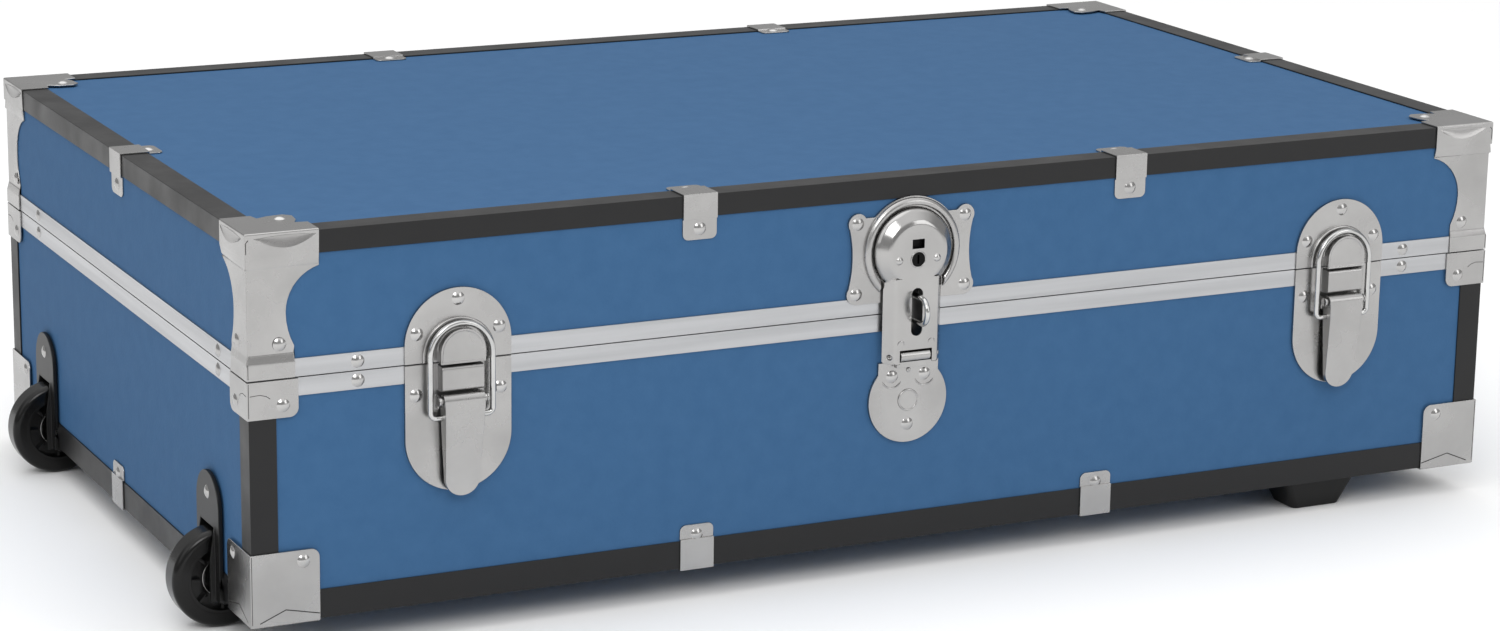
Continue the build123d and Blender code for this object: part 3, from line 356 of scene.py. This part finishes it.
def rim_band(node):
    """Band whose drawing lines run along each of its sides."""
    bm = bmesh.new()
    bm.from_mesh(frame["nodes"][node].data)
    bmesh.ops.remove_doubles(bm, verts=bm.verts, dist=2e-6)
    for face in bm.faces:
        middle = case_mm(face.calc_center_median())
        to_end = min(middle.x, CASE_L - middle.x)
        to_face = min(middle.y, CASE_D - middle.y)
        face.material_index = 1 if to_end < to_face else 0
    piece = finish_mesh(
        node + "_looks", bm, [BAND_X, BAND_Y], body_of_node(node), smooth_below=20)
    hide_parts(node)


# ---- Pressed corners and clamps ----

def near(value, target, tolerance=0.06):
    return abs(value - target) < tolerance


def proud_of_side(point):
    """How far a point stands outside the bindings' faces, in millimetres."""
    return max(-point.x, point.x - CASE_L, -point.y, point.y - CASE_D)


def slope_step(bm, level, proud_rise, sunk_rise):
    """Draw a square step in a flange out into a ramp, along Z."""
    level_faces = [f for f in bm.faces if abs(f.normal.z) > 0.9]
    ledges = [f for f in level_faces if near(case_mm(f.verts[0].co).z, level)]
    bmesh.ops.triangulate(bm, faces=ledges)
    for vert in bm.verts:
        point = case_mm(vert.co)
        if near(point.z, level):
            vert.co.z += (proud_rise if proud_of_side(point) > 0.5 else sunk_rise) * MM


def roll_outer_edges(bm, level):
    """Round the edges where the flanges meet the corner's top or bottom."""
    roll_edges(bm, lambda p: near(p.z, level) and proud_of_side(p) > 0.9 * FLANGE, 0.9, 4)


def shape_lid_corner(bm):
    """Ramp the flanges over the band and the binding, then round the top."""
    ramp_ends = []
    for level, proud_rise, sunk_rise in ((BAND_STEP_Z, -2.2, 2.2), (BINDING_STEP_Z, 0.4, -4.6)):
        slope_step(bm, level, proud_rise, sunk_rise)
        ramp_ends += [level + proud_rise, level + sunk_rise]

    def on_ramp_end(point):
        return proud_of_side(point) > -0.1 and any(near(point.z, end) for end in ramp_ends)

    roll_edges(bm, on_ramp_end, 0.7, 2)
    roll_outer_edges(bm, CASE_H + FLANGE)


def shape_bottom_corner(bm):
    roll_outer_edges(bm, -FLANGE)


def corner_flanges():
    """Both flanges of all four corners, each as (at the far end, at the back, on the end face)."""
    for flip_x in (False, True):
        for flip_y in (False, True):
            for on_side in (False, True):
                yield flip_x, flip_y, on_side


def flange_place(flange, along, outward, height):
    """Scene place of a point on a flange, given in case millimetres from its corner."""
    flip_x, flip_y, on_side = flange
    x, y = (-FLANGE - outward, along) if on_side else (along, -FLANGE - outward)
    if flip_x:
        x = CASE_L - x
    if flip_y:
        y = CASE_D - y
    return at(x, y, height)


def add_grid(bm, columns, rows, place):
    """Sheet of quads; place(i, j) gives each corner."""
    verts = [[bm.verts.new(place(i, j)) for j in range(rows + 1)] for i in range(columns + 1)]
    for i in range(columns):
        for j in range(rows):
            bm.faces.new((verts[i][j], verts[i + 1][j], verts[i + 1][j + 1], verts[i][j + 1]))


def add_lid_fold(bm, flange):
    """Three-cornered tuck under the top flange: a lip that stands out along its lower edge."""
    left, tip, right = FOLD
    columns, rows = 24, 8
    hem_rows = 2

    def lower_edge(along):
        """Height of the lip's edge, which curves down from either end to the tip."""
        end = left if along < tip[0] else right
        towards_tip = (along - end[0]) / (tip[0] - end[0])
        return end[1] + (tip[1] - end[1]) * math.sin(math.pi / 2 * towards_tip)

    def place(i, j):
        share = i / columns
        along = left[0] + (right[0] - left[0]) * share
        low = lower_edge(along)
        high = left[1] + (right[1] - left[1]) * share + 0.9 * math.sin(math.pi * share)
        rise = max(j - hem_rows, 0) / (rows - hem_rows)
        swell = math.sin(math.pi * share) ** 0.5
        outward = swell * (0.15 + FOLD_THICK * (1 - rise) ** 1.6)
        if j < hem_rows:
            outward = swell * (-0.3, 0.75)[j]
        return flange_place(flange, along, outward, low + (high - low) * rise)

    add_grid(bm, columns, rows, place)


def add_seam_shade(bm, flange, chain, width, lift=0.03):
    """Dark strip of painted shade for a groove on a flange, drawn through (along, height) points.
    """
    for a, b in zip(chain, chain[1:]):
        run = Vector((b[0] - a[0], b[1] - a[1])).normalized()
        offset = (-run.y * width / 2, run.x * width / 2)
        quad = [(a[0] - offset[0], a[1] - offset[1]), (b[0] - offset[0], b[1] - offset[1]),
                (b[0] + offset[0], b[1] + offset[1]), (a[0] + offset[0], a[1] + offset[1])]
        bm.faces.new([bm.verts.new(flange_place(flange, u, lift, z)) for u, z in quad])


def make_corner_details():
    """Folds of the pressed corners, and dark strips of painted shade along their seams and
    creases.
    """
    folds = bmesh.new()
    lid_seam_shade = bmesh.new()
    base_seam_shade = bmesh.new()
    for flange in corner_flanges():
        add_lid_fold(folds, flange)
        on_side = flange[2]
        if not on_side:
            add_seam_shade(lid_seam_shade, flange, LID_EDGE_SEAM, 0.35)
            add_seam_shade(lid_seam_shade, flange, LID_TOP_SEAM, 0.45)
            add_seam_shade(base_seam_shade, flange, RIM_EDGE_SEAM, 0.35)
            add_seam_shade(base_seam_shade, flange, BOTTOM_EDGE_SEAM, 0.35)
        add_seam_shade(base_seam_shade, flange, BOTTOM_SEAM, 0.6)
        add_seam_shade(base_seam_shade, flange, RIM_CREASE, 0.35)
    finish_mesh("lid_corner_folds", folds, [NICKEL], "lid")
    finish_mesh("lid_corner_seam_shade", lid_seam_shade, [SEAM_SHADE], "lid")
    finish_mesh("base_corner_seam_shade", base_seam_shade, [SEAM_SHADE], "base")


# ---- Latches and lock ----

def shape_keeper(bm):
    """Give the catch a raised rim round a sunk face, and a soft shoulder below it."""
    forward = [f for f in bm.faces if f.normal.y < -0.9]
    faces = [f for f in forward if near(case_mm(f.calc_center_median()).y, CATCH_Y)]
    bmesh.ops.inset_region(bm, faces=faces, thickness=1.1 * MM, depth=0)
    bmesh.ops.inset_region(bm, faces=faces, thickness=0.5 * MM, depth=-0.6 * MM)
    roll_edges(bm, lambda p: near(p.y, CATCH_SHOULDER_Y), 0.8, 4)


def from_lock_axis(point):
    return math.hypot(point.x - LOCK_X, point.z - LOCK_Z)


def shape_hasp(bm):
    """Roll the dome's shoulder and foot, and the edges of the neck's face."""
    def on_shoulder(point):
        return near(point.y, HASP_FACE_Y) and near(from_lock_axis(point), DOME_FACE_R, 0.2)

    def on_foot(point):
        return near(point.y, DOME_FOOT_Y, 0.1) and near(from_lock_axis(point), DOME_FOOT_R, 0.1)

    def on_neck_edge(point):
        return near(abs(point.x - LOCK_X), NECK_FACE_HALF) and point.y < HASP_FACE_Y + 0.1

    roll_edges(bm, on_shoulder, 1.8, 6)
    roll_edges(bm, on_foot, 2.2, 6)
    roll_edges(bm, on_neck_edge, 1.4, 5)


def shape_upper_plate(bm):
    """Round the ring into a bead."""
    def on_ring(point):
        between = RING_INNER_R - 0.2 < from_lock_axis(point) < RING_R + 0.2
        return between and point.y < RING_TOP_Y

    roll_edges(bm, on_ring, 0.75, 4)


def join_loops(bm, a, b):
    """Band of quads between two closed loops of corners."""
    for j in range(len(a)):
        k = (j + 1) % len(a)
        bm.faces.new((a[j], a[k], b[k], b[j]))


def add_ring(bm, centre, radius, wire, around=48, section=12):
    """Torus about the Y axis; centre, radius and wire in case millimetres."""
    x, y, z = centre
    loops = []
    for i in range(around):
        turn = 2 * math.pi * i / around
        loop = []
        for j in range(section):
            swing = 2 * math.pi * j / section
            reach = radius + wire * math.cos(swing)
            depth = y + wire * math.sin(swing)
            place = at(x + reach * math.cos(turn), depth, z + reach * math.sin(turn))
            loop.append(bm.verts.new(place))
        loops.append(loop)
    for a, b in zip(loops, loops[1:] + loops[:1]):
        join_loops(bm, a, b)


def add_bead(bm, points, radius, section=8):
    """Thin pressed ridge that follows points in case millimetres, on a face that looks along Y."""
    loops = []
    for index, point in enumerate(points):
        before = Vector(points[max(index - 1, 0)])
        after = Vector(points[min(index + 1, len(points) - 1)])
        across = (after - before).cross(Vector((0, 1, 0))).normalized()
        taper = radius * (0.25 if index in (0, len(points) - 1) else 1)
        loop = []
        for j in range(section):
            swing = 2 * math.pi * j / section
            offset = across * taper * math.cos(swing) + Vector((0, taper * math.sin(swing), 0))
            loop.append(bm.verts.new(at(*(Vector(point) + offset))))
        loops.append(loop)
    for a, b in zip(loops, loops[1:]):
        join_loops(bm, a, b)


def arc_points(centre, radius, start, end, y, steps=10):
    """Points of an arc about (x, z) at depth y, from a start angle to an end angle in degrees."""
    turns = [math.radians(start + (end - start) * i / steps) for i in range(steps + 1)]
    return [(centre[0] + radius * math.cos(t), y, centre[1] + radius * math.sin(t)) for t in turns]


def make_hasp_details():
    """Raised keyhole rim, and the two half-round marks over the hinge window."""
    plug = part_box("lock_plug")
    middle = case_mm((plug[0] + plug[1]) / 2)
    bm = bmesh.new()
    add_ring(bm, (middle.x, HASP_FACE_Y, middle.z), KEYHOLE_RIM_R, 0.42)
    for side in (-1, 1):
        mark = (LOCK_X + side * HINGE_MARK_REACH, HINGE_MARK_Z)
        add_bead(bm, arc_points(mark, 2.0, -10, 190, HASP_FACE_Y), 0.35)
    finish_mesh("hasp_details", bm, [HASP], "hasp")


def make_lower_plate_details():
    """Dimple's rim, the raised dot over it and the pressed edges under the two upper rivets."""
    low, high = case_box("lock_lower_plate")
    x = (low.x + high.x) / 2
    z = low.z + LOWER_DISC_R
    bm = bmesh.new()
    add_ring(bm, (x, LOWER_PLATE_Y - 0.2, z), 5.9, 0.55)
    add_ring(bm, (x, LOWER_PLATE_Y - 0.1, z + 17.6), 0.7, 0.75)
    for side in (-1, 1):
        pressed = (x + side * 10.4, z + 14.4)
        add_bead(bm, arc_points(pressed, 6.6, 200, 330, LOWER_PLATE_Y), 0.5)
    finish_mesh("lower_plate_details", bm, [NICKEL], "base")


# ---- The case ----

for node in frame["nodes"]:
    if node.endswith("_panel"):
        paint(node, VINYL)
    elif node.endswith("_lining"):
        paint(node, PAPER)

# Node: material, width of its broken edges in millimetres, and the function that reshapes it
REFINED = {
    "lid_edge_binding": (BINDING, 0.35), "base_bottom_binding": (BINDING, 0.35),
    "base_corner_binding": (BINDING, 0.35),
    "lid_corners": (NICKEL, 0.3, shape_lid_corner), "base_rim_corners": (NICKEL, 0.3),
    "base_bottom_corners": (NICKEL, 0.3, shape_bottom_corner),
    "lid_edge_clamps": (NICKEL, 0.3), "base_edge_clamps": (NICKEL, 0.3),
    "lid_rivets": (BRIGHT, 0), "base_rivets": (BRIGHT, 0),
    "wheel_housing_front": (HOUSING, 0.5), "wheel_housing_back": (HOUSING, 0.5),
    "wheel_axles": (BRIGHT, 0.25),
    "wheel_hub_front": (GLOSS, 0.3), "wheel_hub_back": (GLOSS, 0.3),
    "wheel_tyre_front": (TYRE, 0), "wheel_tyre_back": (TYRE, 0),
    "foot_front": (FOOT, 0.6), "foot_back": (FOOT, 0.6), "foot_screws": (ZINC, 0),
    "latch_keeper_left": (NICKEL, 0.25, shape_keeper),
    "latch_keeper_right": (NICKEL, 0.25, shape_keeper),
    "latch_plate_left": (NICKEL, 0.35), "latch_plate_right": (NICKEL, 0.35),
    "latch_lever_left": (NICKEL, 0.3), "latch_lever_right": (NICKEL, 0.3),
    "latch_pin_left": (BRIGHT, 0.2), "latch_pin_right": (BRIGHT, 0.2),
    "latch_bail_left": (WIRE, 0), "latch_bail_right": (WIRE, 0),
    "lock_upper_plate": (NICKEL, 0.3, shape_upper_plate), "lock_lower_plate": (NICKEL, 0.35),
    "lock_hasp": (HASP, 0.25, shape_hasp),
    # The lock case and plug take the near black of the painted keyhole shade.
    "lock_staple": (WIRE, 0), "lock_case": (KEYHOLE_SHADE_STEEL, 0.1), "lock_case_rivets": (BRIGHT, 0),
    "lock_plug": (KEYHOLE_SHADE_STEEL, 0.1), "lock_bolt": (ZINC, 0.1), "lock_hasp_pin": (BRIGHT, 0.2),
    "hinge_lid_leaves": (NICKEL, 0.2), "hinge_base_leaves": (NICKEL, 0.2),
    "hinge_pins": (BRIGHT, 0.2),
    "handle_brackets": (NICKEL, 0.3), "handle_wire": (WIRE, 0), "handle_grip": (FOOT, 0),
}
for node, settings in REFINED.items():
    refined(node, *settings)
rim_band("lid_rim_band")
rim_band("base_rim_band")
make_corner_details()
make_hasp_details()
make_lower_plate_details()


# ---- Floor, lights and camera ----

def make_floor():
    bpy.ops.mesh.primitive_plane_add(size=60, location=(0, 0, FLOOR_Z - 0.0002))
    floor = bpy.context.object
    material, _, _ = new_material("pale floor", (246, 246, 246), 0.9)
    floor.data.materials.append(material)


def area_light(name, place, size, power):
    """Soft light that looks at the middle of the case."""
    data = bpy.data.lights.new(name, "AREA")
    data.shape = "RECTANGLE"
    data.size, data.size_y = size
    data.energy = power
    light = bpy.data.objects.new(name, data)
    light.location = Vector(place)
    light.rotation_euler = (LIGHT_TARGET - light.location).to_track_quat("-Z", "Y").to_euler()
    bpy.context.scene.collection.objects.link(light)


def make_world():
    """Pale ceiling over dimmer walls, so that bright metal has something to reflect."""
    world = bpy.data.worlds.new("studio")
    world.use_nodes = True
    tree = world.node_tree
    background = tree.nodes["Background"]
    coords = tree.nodes.new("ShaderNodeTexCoord")
    split = tree.nodes.new("ShaderNodeSeparateXYZ")
    tree.links.new(coords.outputs["Generated"], split.inputs["Vector"])
    ramp = ramp_node(tree, split.outputs["Z"], [(0.42, grey(WALL_LIGHT)), (0.78, grey(1.0))])
    tree.links.new(ramp.outputs["Color"], background.inputs["Color"])
    background.inputs["Strength"].default_value = CEILING_LIGHT
    bpy.context.scene.world = world


def make_camera():
    azimuth = math.radians(CAMERA_AZIMUTH)
    elevation = math.radians(CAMERA_ELEVATION)
    roll = math.radians(CAMERA_ROLL)
    flat = math.cos(elevation)
    back = Vector((math.sin(azimuth) * flat, -math.cos(azimuth) * flat, math.sin(elevation)))
    level_right = Vector((math.cos(azimuth), math.sin(azimuth), 0))
    level_up = back.cross(level_right)
    right = level_right * math.cos(roll) + level_up * math.sin(roll)
    up = level_up * math.cos(roll) - level_right * math.sin(roll)
    data = bpy.data.cameras.new("camera")
    data.lens = CAMERA_LENS
    data.sensor_width = 36
    data.sensor_fit = "HORIZONTAL"
    camera = bpy.data.objects.new("camera", data)
    turn = Matrix((right, up, back)).transposed().to_4x4()
    camera.matrix_world = Matrix.Translation(at(*CAMERA_AT)) @ turn
    bpy.context.scene.collection.objects.link(camera)
    bpy.context.scene.camera = camera


make_floor()
make_world()
area_light("overhead", (-0.3, 0.2, 2.4), (3.0, 2.4), 14)
area_light("left", (-2.4, -0.8, 1.4), (1.6, 1.6), 6)
area_light("front right", (1.6, -2.4, 1.2), (1.2, 1.6), 10)
area_light("key", (-1.0, -1.9, 1.5), (0.9, 0.9), 13)
make_camera()
bpy.context.scene.view_settings.view_transform = "Standard"
